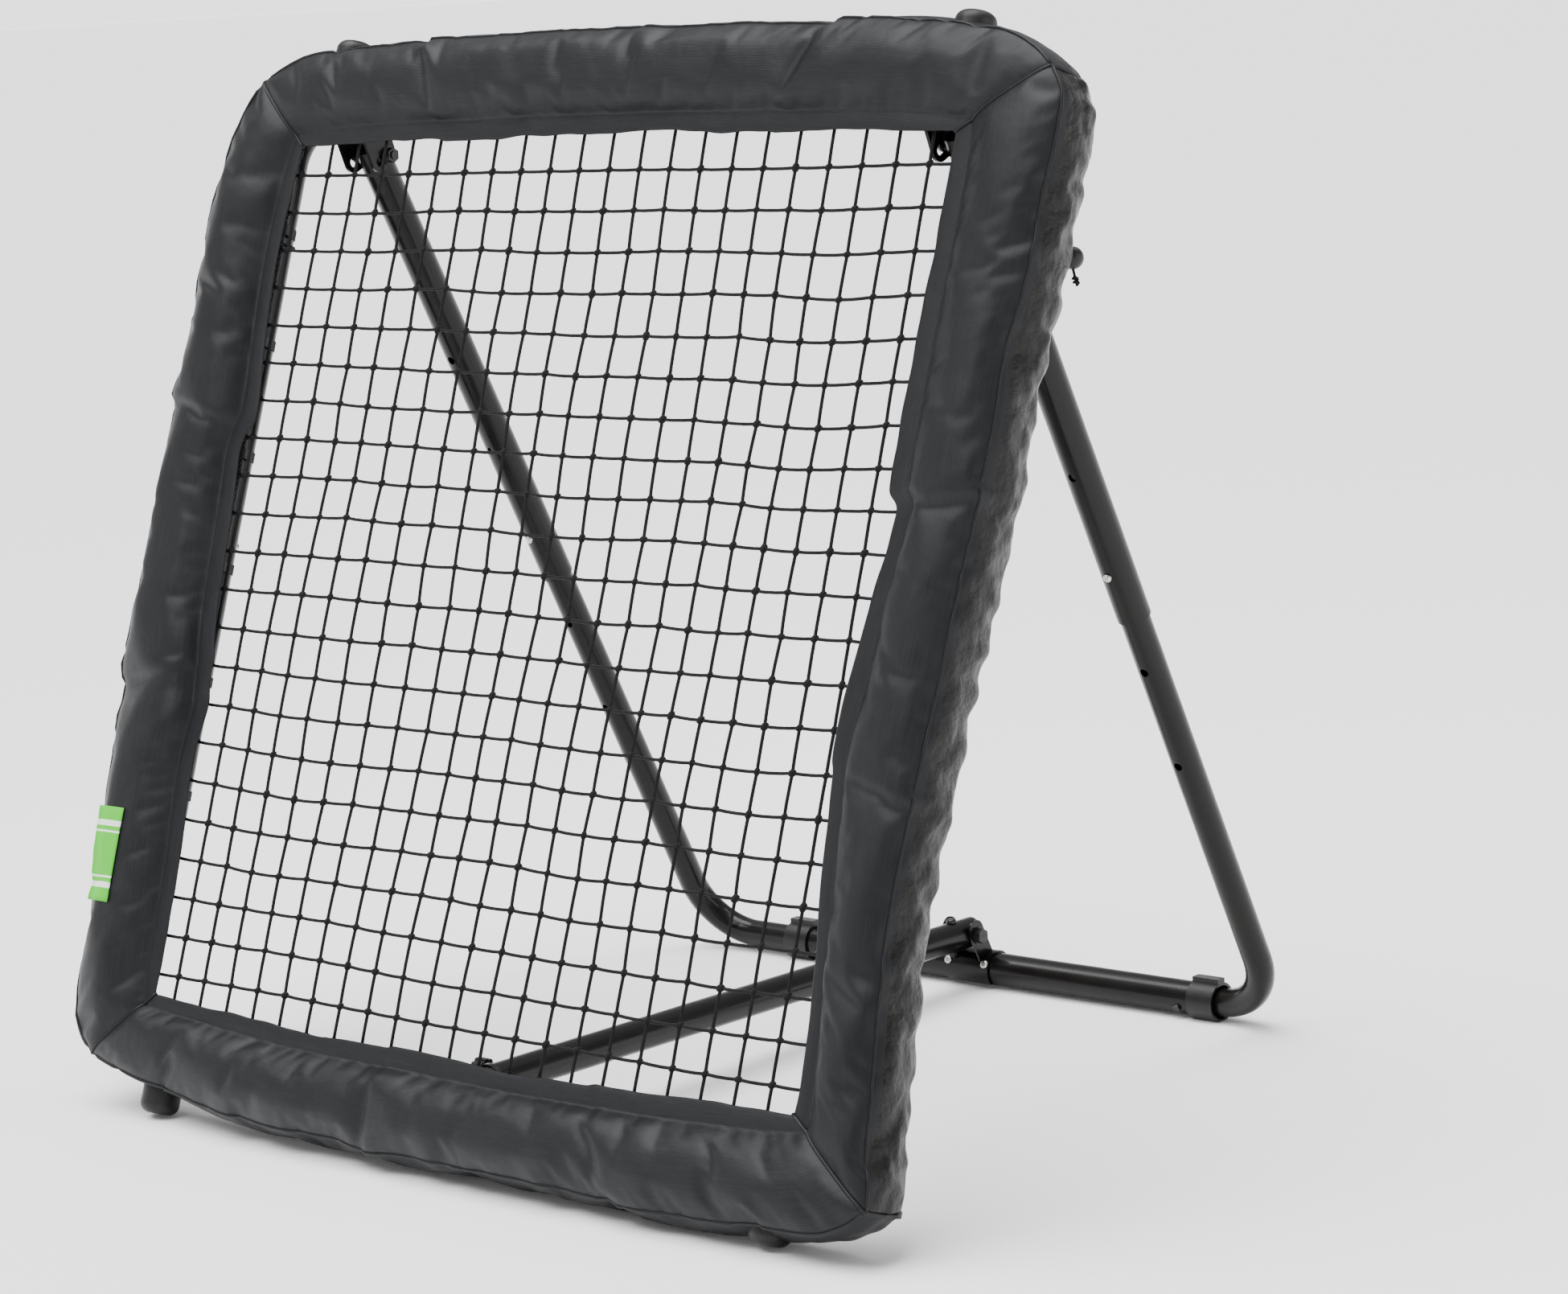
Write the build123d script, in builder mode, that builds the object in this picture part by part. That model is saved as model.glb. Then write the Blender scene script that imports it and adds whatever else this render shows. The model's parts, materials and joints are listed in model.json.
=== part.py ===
from build123d import *
from math import cos, radians, sin
import os

# A free-standing ball rebounder: a padded square net panel that leans back on a telescoping floor strut and
# a rear leg frame. Millimetres, +Z up, the front of the net faces -Y. The origin is on the floor in the
# middle of the object's footprint.

# ---- driving dimensions ----
ORIGIN_BACK = 474.81  # how far the origin lies behind the line where the panel's middle plane meets the floor
TILT = radians(20)  # lean of the panel from upright, at its steepest setting
LEG_LEAN = radians(25.7)  # lean of the rear legs from upright

PAD_W, PAD_H = 1270, 1290  # outside of the padded border
OPENING_W, OPENING_H = 1000, 1032  # clear net inside the border
PANEL_MID = 660  # height of the panel's middle, measured along the panel
PAD_CORNER = 120
FOAM_BACK, FOAM_FRONT = 26, 46  # the pads' front slab, measured from the frame's middle plane
SKIRT_BACK, SKIRT = -36, 8  # rear edge and thickness of the skirt round the outside
HEM, HEM_THICK = 20, 3  # flat hem along the net
MITRE_GAP = 0.4
TAG_X, TAG_Y, TAG_W, TAG_H = -603, -363, 46, 114

FRAME_W, FRAME_H = 1110, 1126  # centre lines of the panel's tube frame
FRAME_BEND, FRAME_R, TUBE_WALL = 60, 19, 2
SPIGOT_LENGTH, SPIGOT_R = 60, 16.8
JOINT_UP, JOINT_BOLT_R = 30, 3  # bolts through the two spigots, above the panel's middle
FOOT_X, FOOT_R, FOOT_LENGTH, FOOT_FILLET, FOOT_SOLE, STUB_R = 479, 23, 57, 12, 7, 17

NET_PLANE, NET_THICK, NET_CLEAR, ROPE_R, ROPE_INSET, ROPE_BEND = 20, 3, 1.5, 4, 28, 40
TIE_WIDTH, TIE_THICK, SIDE_TIES, SIDE_PITCH, END_TIES, END_PITCH = 12, 1.2, 7, 139, 6, 130
BALL_OUT, BALL_UP, BALL_BACK, BALL_R, LOOP_R = 64, 401, 50, 12, 1.6

LEG_X = 457
CROSS_Y, CROSS_Z = 962, 23  # axis of the cross tube on the floor, from the panel's foot line
CROSS_R, CROSS_WALL, CROSS_LEFT, CROSS_RIGHT = 21, 3.2, -300, 370
LEG_R, LEG_BEND, LEG_TOP, LEG_STUB = 17.5, 80, 900, 80
SLEEVE_R, SLEEVE_WALL, SLEEVE_FOOT, SLEEVE_END = 20, 2.2, 580, 12
HINGE_UP = 1195  # upper hinge, measured up the legs from the cross tube's axis
HOLE_UP, HOLE_PITCH, HOLE_COUNT, HOLE_R, BUTTON_R = 646, 134, 3, 5.3, 5
BOLT_R, WASHER = 5, 1.7  # hinge and pivot bolts

PIN_UP = 53  # bracket pin, measured up the legs from the cross tube's axis
STRUT_R, STRUT_LENGTH, STRUT_END = 19, 850, 14
INNER_R, INNER_LENGTH = 16, 795
COLLAR_HALF, COLLAR_R, RUN_GAP, SLIDE_GAP = 30, 24, 0.3, 0.08
LOCK_ALONG, LOCK_PIN_R, LOCK_R, LOCK_OUT = 32, 4, 9, 38

# ---- planes ----
# Panel planes have X across, Y up along the panel and Z towards the player.
panel = Plane(origin=(0, -ORIGIN_BACK, 0), x_dir=(1, 0, 0), z_dir=(0, -cos(TILT), sin(TILT)))
middle = Plane(origin=panel.from_local_coords((0, PANEL_MID, 0)), x_dir=(1, 0, 0), z_dir=panel.z_dir)
# Leg planes have X across, Y up along the legs and Z forwards and down, square to the legs.
legs_from = (0, CROSS_Y - ORIGIN_BACK, CROSS_Z)
legs = Plane(origin=legs_from, x_dir=(1, 0, 0), z_dir=(0, -cos(LEG_LEAN), -sin(LEG_LEAN)))
# The strut plane's Z runs back along the strut, from the bottom tube's axis to the bracket pin.
collar_at = middle.from_local_coords((0, -FRAME_H / 2, 0))
pin_at = legs.from_local_coords((0, PIN_UP, 0))
strut_run = (pin_at - collar_at).length
strut = Plane(origin=collar_at, x_dir=(1, 0, 0), z_dir=(pin_at - collar_at).normalized())
hinge = middle.to_local_coords(legs.from_local_coords((0, HINGE_UP, 0)))
foot_low = (FOOT_FILLET + (FOOT_R - FOOT_FILLET) * sin(TILT)) / cos(TILT) - FOOT_FILLET
foot_end = PANEL_MID - foot_low  # ends of the feet, from the panel's middle


def across(x, base):
    """A section that looks along +X: its X runs up the base plane and its Y along the base plane's Z."""
    return Plane(origin=base.from_local_coords((x, 0, 0)), x_dir=base.y_dir, z_dir=(1, 0, 0))


def along(x, y, base):
    """A section square to the base plane's Y direction, centred on (x, y) of the base plane."""
    return Plane(origin=base.from_local_coords((x, y, 0)), x_dir=(1, 0, 0), z_dir=base.y_dir)


def facing(x, y, base):
    """A plane parallel to the base plane, centred on (x, y) of it."""
    return Plane(origin=base.from_local_coords((x, y, 0)), x_dir=(1, 0, 0), z_dir=base.z_dir)


os.makedirs("parts", exist_ok=True)


def save(part, name):
    part.label = name
    export_step(part, f"parts/{name}.step")
    print(f"{name}: {len(part.solids())} solid(s)")


def washers_or_nuts(name, planes, outer, bore, height, hexagonal=True):
    """Rings or hexagons on the given planes, each growing along its plane's Z."""
    with BuildPart() as rings:
        with BuildSketch(*planes):
            if hexagonal:
                RegularPolygon(radius=outer, side_count=6, major_radius=False)
            else:
                Circle(outer)
            Circle(bore, mode=Mode.SUBTRACT)
        extrude(amount=height)
    save(rings.part, name)


def cross_bolt(name, at, side, half_grip, tail, head_r, head):
    """A bolt along X with a hexagon head on the given side of the point and a plain tail on the other."""
    seat = Plane(origin=at, z_dir=(side, 0, 0)).offset(half_grip)
    with BuildPart() as bolt:
        with BuildSketch(seat):
            Circle(BOLT_R)
        extrude(amount=-2 * half_grip - tail)
        with BuildSketch(seat):
            RegularPolygon(radius=head_r, side_count=6, major_radius=False)
        extrude(amount=head)
    save(bolt.part, name)


# ---- the panel's tube frame: two bent halves that plug together half way up the sides ----
def frame_half(name, up):
    """up is +1 for the upper half and -1 for the lower one, which carries the spigots."""
    side, end = FRAME_W / 2, FRAME_H / 2
    stub_end = foot_end - FOOT_SOLE
    with BuildPart() as half:
        with BuildLine(middle):
            FilletPolyline((-side, 0), (-side, up * end), (side, up * end), (side, 0), radius=FRAME_BEND)
        with BuildSketch(along(-side, 0, middle)):
            Circle(FRAME_R)
            Circle(FRAME_R - TUBE_WALL, mode=Mode.SUBTRACT)
        sweep()
        with BuildSketch(along(-FOOT_X, up * stub_end, middle), along(FOOT_X, up * stub_end, middle)):
            Circle(STUB_R)
        extrude(amount=-up * (stub_end - end - FRAME_R / 2))
        if up < 0:
            lower_ends = [along(x, -FRAME_R, middle) for x in (-side, side)]
            with BuildSketch(*lower_ends):
                Circle(SPIGOT_R)
                Circle(SPIGOT_R - TUBE_WALL, mode=Mode.SUBTRACT)
            extrude(amount=FRAME_R + SPIGOT_LENGTH)
            with BuildSketch(*lower_ends):
                Circle(FRAME_R - TUBE_WALL)
                Circle(SPIGOT_R - TUBE_WALL, mode=Mode.SUBTRACT)
            extrude(amount=FRAME_R)
        with BuildSketch(facing(-side, JOINT_UP, middle), facing(side, JOINT_UP, middle)):
            Circle(JOINT_BOLT_R)
        extrude(amount=FRAME_R + 1, both=True, mode=Mode.SUBTRACT)
    save(half.part, name)


frame_half("frame_upper", 1)
frame_half("frame_lower", -1)

joint_spots = [facing(x, JOINT_UP, middle) for x in (-FRAME_W / 2, FRAME_W / 2)]
with BuildPart() as joint_bolts:
    with BuildSketch(*[spot.offset(-FRAME_R - 7) for spot in joint_spots]):
        Circle(JOINT_BOLT_R)
    extrude(amount=2 * FRAME_R + 7)
    with BuildSketch(*[spot.offset(FRAME_R) for spot in joint_spots]):
        Circle(JOINT_BOLT_R * 1.9)
    extrude(amount=3)
save(joint_bolts.part, "frame_joint_bolts")
washers_or_nuts("frame_joint_nuts", [spot.offset(-FRAME_R - 5) for spot in joint_spots], 5, JOINT_BOLT_R, 5)


# ---- rubber caps on the stub feet, below and above ----
def foot_cap(name, x, up):
    with BuildPart() as cap:
        with BuildSketch(along(x, up * foot_end, middle)):
            Circle(FOOT_R)
        extrude(amount=-up * FOOT_LENGTH)
        ends = cap.faces().filter_by(GeomType.PLANE).sort_by(Axis(middle.origin, middle.y_dir * up))
        fillet(ends[-1].edges(), radius=FOOT_FILLET)
        with BuildSketch(along(x, up * (foot_end - FOOT_SOLE), middle)):
            Circle(STUB_R)
        extrude(amount=-up * FOOT_LENGTH, mode=Mode.SUBTRACT)
    save(cap.part, name)


foot_cap("foot_cap_lower_left", -FOOT_X, -1)
foot_cap("foot_cap_lower_right", FOOT_X, -1)
foot_cap("foot_cap_upper_left", -FOOT_X, 1)
foot_cap("foot_cap_upper_right", FOOT_X, 1)


# ---- four pads with mitred corners ----
def pad(name, sector):
    """One side of the padded border: foam slab, flat hem along the net and skirt round the outside."""
    with BuildPart() as side:
        with BuildSketch(middle.offset(FOAM_BACK)):
            RectangleRounded(PAD_W, PAD_H, PAD_CORNER)
            Rectangle(OPENING_W + 2 * HEM, OPENING_H + 2 * HEM, mode=Mode.SUBTRACT)
        extrude(amount=FOAM_FRONT - FOAM_BACK)
        with BuildSketch(middle.offset(FOAM_BACK)):
            Rectangle(OPENING_W + 2 * HEM, OPENING_H + 2 * HEM)
            Rectangle(OPENING_W, OPENING_H, mode=Mode.SUBTRACT)
        extrude(amount=HEM_THICK)
        with BuildSketch(middle.offset(SKIRT_BACK)):
            RectangleRounded(PAD_W, PAD_H, PAD_CORNER)
            RectangleRounded(PAD_W - 2 * SKIRT, PAD_H - 2 * SKIRT, PAD_CORNER - SKIRT, mode=Mode.SUBTRACT)
        extrude(amount=FOAM_BACK - SKIRT_BACK)
        with BuildSketch(middle.offset(SKIRT_BACK)):
            with BuildLine():
                Polyline(*sector, close=True)
            make_face()
        extrude(amount=FOAM_FRONT - SKIRT_BACK, mode=Mode.INTERSECT)
        with BuildSketch(along(-FOOT_X, 0, middle), along(FOOT_X, 0, middle)):
            Circle(FOOT_R + 1.5)
        extrude(amount=PAD_H, both=True, mode=Mode.SUBTRACT)
    save(side.part, name)


in_x, in_y = OPENING_W / 2, OPENING_H / 2
out_x = in_x + 1.3 * (PAD_W - OPENING_W) / 2
out_y = in_y + 1.3 * (PAD_H - OPENING_H) / 2
g = MITRE_GAP
pad("pad_top", [(g - in_x, in_y), (in_x - g, in_y), (out_x - g, out_y), (g - out_x, out_y)])
pad("pad_bottom", [(g - in_x, -in_y), (in_x - g, -in_y), (out_x - g, -out_y), (g - out_x, -out_y)])
pad("pad_left", [(-in_x, g - in_y), (-in_x, in_y - g), (-out_x, out_y - g), (-out_x, g - out_y)])
pad("pad_right", [(in_x, g - in_y), (in_x, in_y - g), (out_x, out_y - g), (out_x, g - out_y)])

with BuildPart() as tag:
    with BuildSketch(facing(TAG_X, TAG_Y, middle).offset(FOAM_FRONT)):
        RectangleRounded(TAG_W, TAG_H, 3)
    extrude(amount=1)
save(tag.part, "pad_tag")

# ---- net, border rope and the straps that tie the rope to the frame ----
rope_x, rope_y = FRAME_W / 2 - ROPE_INSET, FRAME_H / 2 - ROPE_INSET
net_inset = ROPE_R + NET_CLEAR
with BuildPart() as net:
    with BuildSketch(middle.offset(NET_PLANE - NET_THICK / 2)):
        RectangleRounded(2 * (rope_x - net_inset), 2 * (rope_y - net_inset), ROPE_BEND - net_inset)
    extrude(amount=NET_THICK)
save(net.part, "net")

with BuildPart() as rope:
    with BuildLine(middle.offset(NET_PLANE)) as rope_line:
        turns = [(rope_x, rope_y), (rope_x, -rope_y), (-rope_x, -rope_y), (-rope_x, rope_y)]
        FilletPolyline(*turns, radius=ROPE_BEND, close=True)
    with BuildSketch(Plane(origin=rope_line.line @ 0, z_dir=rope_line.line % 0)):
        Circle(ROPE_R)
    sweep()
save(rope.part, "net_border_rope")

# These section planes look along the frame tube: X points outwards from the net's middle, Y to the player.
tie_spots = []
for sign in (-1, 1):
    for i in range(SIDE_TIES):
        at = (sign * FRAME_W / 2, (i - (SIDE_TIES - 1) / 2) * SIDE_PITCH, 0)
        tie_spots.append(Plane(middle.from_local_coords(at), panel.x_dir * sign, panel.y_dir * -sign))
    for i in range(END_TIES):
        at = ((i - (END_TIES - 1) / 2) * END_PITCH, sign * FRAME_H / 2, 0)
        tie_spots.append(Plane(middle.from_local_coords(at), panel.y_dir * sign, panel.x_dir * sign))


def band(spots, width, tube_r, other, other_r):
    """Belt-shaped slabs round the frame tube and a smaller round at the given spot beside it."""
    with BuildPart() as slabs:
        for spot in spots:
            with BuildSketch(spot.offset(-width / 2)):
                Circle(tube_r)
                with Locations(other):
                    Circle(other_r)
                make_hull()
            extrude(amount=width)
    return slabs.part


rope_spot = (-ROPE_INSET, NET_PLANE)
with BuildPart() as ties:
    add(band(tie_spots, TIE_WIDTH, FRAME_R + TIE_THICK, rope_spot, ROPE_R + TIE_THICK))
    add(band(tie_spots, TIE_WIDTH, FRAME_R, rope_spot, ROPE_R), mode=Mode.SUBTRACT)
save(ties.part, "net_ties")

# ---- ball stops on the elastic loops that pull the side skirts back ----
loop_spots = []
for sign in (-1, 1):
    at = middle.from_local_coords((sign * FRAME_W / 2, BALL_UP, 0))
    loop_spots.append(Plane(at, panel.x_dir * sign, panel.y_dir * -sign))

with BuildPart() as loops:
    add(band(loop_spots, 2 * LOOP_R, FRAME_R + 2 * LOOP_R, (BALL_OUT, -BALL_BACK), 3 * LOOP_R))
    add(band(loop_spots, 2 * LOOP_R, FRAME_R, (BALL_OUT, -BALL_BACK), LOOP_R), mode=Mode.SUBTRACT)
save(loops.part, "pad_toggle_loops")

for side_name, spot in zip(("left", "right"), loop_spots):
    with BuildPart() as ball:
        with Locations(spot.from_local_coords((BALL_OUT, -BALL_BACK, 0))):
            Sphere(BALL_R, rotation=(0, 90, 0))
        add(loops.part, mode=Mode.SUBTRACT)
    save(ball.part, f"pad_toggle_{side_name}")

# ---- hinge brackets on the top tube: a half saddle and two hooked ears each ----
EAR_IN, EAR_THICK, EAR_R, HOOK_R, HOOK_DRIFT, MOUTH = 21, 4, 13, 6.3, 11.3, 45
seat = (hinge.Y, hinge.Z)  # where the hinge bolt rests in the hooks
pocket = (hinge.Y - HOOK_DRIFT, hinge.Z + HOOK_DRIFT)  # where it drifts to half way down the tilt
ways_out = []
for lean in (TILT + LEG_LEAN, radians(84)):  # legs against panel, at the steepest and the flattest setting
    ways_out.append((hinge.Y - MOUTH * cos(lean), hinge.Z - MOUTH * sin(lean)))


def hull_of(rounds):
    for at, r in rounds:
        with Locations(at):
            Circle(r)
    make_hull()


def hinge_bracket(name, x):
    outer_x = EAR_IN + EAR_THICK
    top = (FRAME_H / 2, 0)
    with BuildPart() as bracket:
        for low in (x - outer_x, x + EAR_IN):
            with BuildSketch(across(low, middle)):
                hull_of([(top, FRAME_R + 3), (seat, EAR_R), (pocket, EAR_R)])
            extrude(amount=EAR_THICK)
        with BuildSketch(across(x - outer_x, middle)):
            with Locations(top):
                Circle(FRAME_R + 3)
        extrude(amount=2 * outer_x)
        with BuildSketch(across(x - outer_x, middle)):
            hull_of([(seat, HOOK_R), (ways_out[0], HOOK_R), (ways_out[1], HOOK_R)])
        extrude(amount=2 * outer_x, mode=Mode.SUBTRACT)
        with BuildSketch(across(x - outer_x, middle)):
            hull_of([(seat, HOOK_R), (pocket, HOOK_R)])
        extrude(amount=2 * outer_x, mode=Mode.SUBTRACT)
        with BuildSketch(across(x - outer_x, middle)):
            with Locations(top):
                Circle(FRAME_R)
            with Locations((FRAME_H / 2, 2 * FRAME_R)):
                Rectangle(3 * FRAME_R, 4 * FRAME_R - 4)
        extrude(amount=2 * outer_x, mode=Mode.SUBTRACT)
        foot_side = FOOT_X if x > 0 else -FOOT_X
        with BuildSketch(along(foot_side, (FRAME_H + FRAME_R) / 2, middle)):
            Circle(STUB_R + 0.5)
        extrude(amount=FRAME_R, mode=Mode.SUBTRACT)
    save(bracket.part, name)


hinge_bracket("hinge_bracket_left", -LEG_X)
hinge_bracket("hinge_bracket_right", LEG_X)

# ---- stop rings on the bottom tube, either side of the strut's collar ----
STOP_WIDTH = 8
washers_or_nuts(
    "collar_stop_rings",
    [across(COLLAR_HALF + 1, strut), across(-COLLAR_HALF - 1 - STOP_WIDTH, strut)],
    COLLAR_R - 1,
    FRAME_R,
    STOP_WIDTH,
    hexagonal=False,
)

# ---- floor strut, front part: collar round the bottom tube, inner tube and its slide bush ----
with BuildPart() as collar:
    with BuildSketch(across(-COLLAR_HALF, strut)):
        Circle(COLLAR_R)
        Circle(FRAME_R + RUN_GAP, mode=Mode.SUBTRACT)
    extrude(amount=2 * COLLAR_HALF)
save(collar.part, "strut_collar")

with BuildPart() as inner:
    with BuildSketch(strut):
        Circle(INNER_R)
        Circle(INNER_R - TUBE_WALL, mode=Mode.SUBTRACT)
    extrude(amount=INNER_LENGTH)
    with BuildSketch(across(-COLLAR_HALF, strut)):
        Circle(COLLAR_R)
    extrude(amount=2 * COLLAR_HALF, mode=Mode.SUBTRACT)
save(inner.part, "strut_inner_tube")

strut_bore = STRUT_R - TUBE_WALL
slide_end = strut.offset(INNER_LENGTH)
washers_or_nuts("strut_slide_bush", [slide_end], strut_bore - SLIDE_GAP, INNER_R / 2, 4, hexagonal=False)

# ---- floor strut, rear part: outer tube, mouth bush, end bolt and lock housing ----
END_BOLT_BACK, END_BOLT_R, BUSH_LENGTH, LIP = 26, 3, 30, 7
mouth = strut_run - STRUT_LENGTH  # from the collar's axis to the outer tube's open end
lock_at = strut.from_local_coords((0, 0, mouth + LOCK_ALONG))
lock = Plane(origin=lock_at, x_dir=strut.z_dir, z_dir=(-1, 0, 0))
end_bolt = Plane(origin=strut.from_local_coords((0, 0, strut_run - END_BOLT_BACK)), z_dir=-strut.y_dir)

with BuildPart() as outer:
    with BuildSketch(strut.offset(mouth)):
        Circle(STRUT_R)
        Circle(strut_bore, mode=Mode.SUBTRACT)
    extrude(amount=STRUT_LENGTH + STRUT_END)
    with BuildSketch(Plane(origin=pin_at, z_dir=(1, 0, 0))):
        Circle(BOLT_R + 0.05)
    extrude(amount=STRUT_R + 2, both=True, mode=Mode.SUBTRACT)
    with BuildSketch(end_bolt):
        Circle(END_BOLT_R)
    extrude(amount=STRUT_R + 2, both=True, mode=Mode.SUBTRACT)
    with BuildSketch(lock):
        Circle(LOCK_PIN_R + 0.05)
    extrude(amount=STRUT_R + 2, mode=Mode.SUBTRACT)
save(outer.part, "strut_outer_tube")

with BuildPart() as mouth_bush:
    with BuildSketch(strut.offset(mouth)):
        Circle(strut_bore)
        Circle(INNER_R + SLIDE_GAP, mode=Mode.SUBTRACT)
    extrude(amount=BUSH_LENGTH)
    with BuildSketch(strut.offset(mouth - LIP)):
        Circle(STRUT_R + 1.5)
        Circle(INNER_R + SLIDE_GAP, mode=Mode.SUBTRACT)
    extrude(amount=LIP)
save(mouth_bush.part, "strut_mouth_bush")

with BuildPart() as end_screw:
    with BuildSketch(end_bolt.offset(-STRUT_R - 6)):
        Circle(END_BOLT_R)
    extrude(amount=2 * STRUT_R + 6)
    with BuildSketch(end_bolt.offset(STRUT_R)):
        Circle(2.2 * END_BOLT_R)
    extrude(amount=5.5)
    fillet(end_screw.faces().sort_by(Axis(end_bolt.origin, end_bolt.z_dir))[-1].edges(), radius=4.5)
save(end_screw.part, "strut_end_bolt")
washers_or_nuts("strut_end_nut", [end_bolt.offset(-STRUT_R - 5)], 5, END_BOLT_R, 5)

with BuildPart() as housing:
    with BuildSketch(lock):
        Circle(LOCK_R)
        Circle(LOCK_PIN_R + 0.05, mode=Mode.SUBTRACT)
    extrude(amount=LOCK_OUT)
    with BuildSketch(strut.offset(mouth)):
        Circle(STRUT_R)
    extrude(amount=2 * LOCK_ALONG, mode=Mode.SUBTRACT)
save(housing.part, "lock_housing")

# The pin's tip stops in the outer tube's wall, just clear of the inner tube.
KNOB_R, KNOB_LENGTH, KNOB_GRIP, GRIPS = 13, 17, 11.5, 9
with BuildPart() as lock_pin:
    with BuildSketch(lock.offset(strut_bore)):
        Circle(LOCK_PIN_R)
    extrude(amount=LOCK_OUT + KNOB_GRIP - strut_bore)
save(lock_pin.part, "lock_pin")

with BuildPart() as knob:
    with BuildSketch(lock.offset(LOCK_OUT + 0.5)):
        Circle(KNOB_R)
        with PolarLocations(KNOB_R + 1.5, GRIPS):
            Circle(3.2, mode=Mode.SUBTRACT)
    extrude(amount=KNOB_LENGTH)
    fillet(knob.faces().sort_by(Axis.X)[0].edges(), radius=1.2)
    with BuildSketch(lock.offset(LOCK_OUT)):
        Circle(LOCK_PIN_R)
    extrude(amount=KNOB_GRIP, mode=Mode.SUBTRACT)
save(knob.part, "lock_knob")

# ---- rear frame: cross tube, two bent legs, floor collars and joint screws ----
SCREW_R, SCREW_IN, CLAMP_X, CLAMP_R = 2.5, 45, 29, 3
clamp_dir = Vector(0, -cos(radians(25)), sin(radians(25)))
clamps = [Plane(origin=legs.from_local_coords((x, 0, 0)), x_dir=(1, 0, 0), z_dir=clamp_dir)
          for x in (-CLAMP_X, CLAMP_X)]
joints = [facing(x, 0, legs) for x in (CROSS_LEFT + SCREW_IN, CROSS_RIGHT - SCREW_IN)]

with BuildPart() as cross:
    with BuildSketch(across(CROSS_LEFT, legs)):
        Circle(CROSS_R)
        Circle(CROSS_R - CROSS_WALL, mode=Mode.SUBTRACT)
    extrude(amount=CROSS_RIGHT - CROSS_LEFT)
    with BuildSketch(*clamps):
        Circle(CLAMP_R)
    extrude(amount=CROSS_R + 2, both=True, mode=Mode.SUBTRACT)
    with BuildSketch(*joints):
        Circle(SCREW_R)
    extrude(amount=CROSS_R + 2, mode=Mode.SUBTRACT)
save(cross.part, "cross_tube")

with BuildPart() as screws:
    with BuildSketch(*[spot.offset(LEG_R - TUBE_WALL - 3) for spot in joints]):
        Circle(SCREW_R)
    extrude(amount=CROSS_R + 1 - LEG_R + TUBE_WALL + 3)
    with BuildSketch(*[spot.offset(CROSS_R) for spot in joints]):
        Circle(2 * SCREW_R)
    extrude(amount=3)
save(screws.part, "cross_joint_screws")


def leg(name, side, cross_end, joint):
    """A J-shaped tube: its foot is bent inwards along the floor and plugs into the cross tube."""
    stub = cross_end - side * LEG_STUB
    with BuildPart() as tube:
        with BuildLine(legs):
            FilletPolyline((stub, 0), (side * LEG_X, 0), (side * LEG_X, LEG_TOP), radius=LEG_BEND)
        with BuildSketch(across(stub, legs)):
            Circle(LEG_R)
            Circle(LEG_R - TUBE_WALL, mode=Mode.SUBTRACT)
        sweep()
        holes = [HOLE_UP - i * HOLE_PITCH for i in range(HOLE_COUNT)]
        with BuildSketch(*[facing(side * LEG_X, up, legs) for up in holes]):
            Circle(HOLE_R)
        extrude(amount=LEG_R + 1, mode=Mode.SUBTRACT)
        with BuildSketch(joint):
            Circle(SCREW_R)
        extrude(amount=LEG_R + 1, mode=Mode.SUBTRACT)
    save(tube.part, name)


leg("leg_left", -1, CROSS_LEFT, joints[0])
leg("leg_right", 1, CROSS_RIGHT, joints[1])

SHOE_R, SHOE_LENGTH, SHOE_OVER, SHOE_TAB = 24.5, 38, 9, (14, 5)


def floor_collar(name, x):
    """A plastic saddle clip round the joint, flat where it stands on the floor, with a tab on top."""
    upright = Plane(origin=(x, CROSS_Y - ORIGIN_BACK, CROSS_Z), x_dir=(0, 1, 0), z_dir=(1, 0, 0))
    with BuildPart() as shoe:
        with BuildSketch(upright):
            Circle(SHOE_R)
            with Locations((0, SHOE_R)):
                Rectangle(SHOE_TAB[0], 2 * SHOE_TAB[1])
            with Locations((0, -CROSS_Z - SHOE_R)):
                Rectangle(4 * SHOE_R, 2 * SHOE_R, mode=Mode.SUBTRACT)
            Circle(CROSS_R, mode=Mode.SUBTRACT)
        extrude(amount=SHOE_LENGTH)
    save(shoe.part, name)


floor_collar("floor_collar_left", CROSS_LEFT - SHOE_OVER)
floor_collar("floor_collar_right", CROSS_RIGHT + SHOE_OVER - SHOE_LENGTH)

# ---- the strut's bracket, clamped on the cross tube ----
SADDLE_HALF, SADDLE_THICK, SADDLE_LOW, TAB_IN, TAB_THICK, TAB_R, TAB_LOW, TAB_TOP = 34, 3, 8, 19.5, 3, 13.5, 10, 61
saddle_r = CROSS_R + SADDLE_THICK
with BuildPart() as bracket:
    with BuildSketch(across(-SADDLE_HALF, legs)):
        Circle(saddle_r)
    extrude(amount=2 * SADDLE_HALF)
    for low in (-TAB_IN - TAB_THICK, TAB_IN):
        with BuildSketch(across(low, legs)):
            hull_of([((TAB_LOW, 0), TAB_R), ((TAB_TOP, 0), TAB_R)])
        extrude(amount=TAB_THICK)
    with BuildSketch(across(-SADDLE_HALF, legs)):
        Circle(CROSS_R)
        with Locations((-SADDLE_LOW - saddle_r, 0)):
            Rectangle(2 * saddle_r, 3 * saddle_r)
    extrude(amount=2 * SADDLE_HALF, mode=Mode.SUBTRACT)
    with BuildSketch(across(-SADDLE_HALF, legs)):
        with Locations((PIN_UP, 0)):
            Circle(BOLT_R)
    extrude(amount=2 * SADDLE_HALF, mode=Mode.SUBTRACT)
    with BuildSketch(*clamps):
        Circle(CLAMP_R)
    extrude(amount=saddle_r + 1, mode=Mode.SUBTRACT)
save(bracket.part, "strut_bracket")

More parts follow.
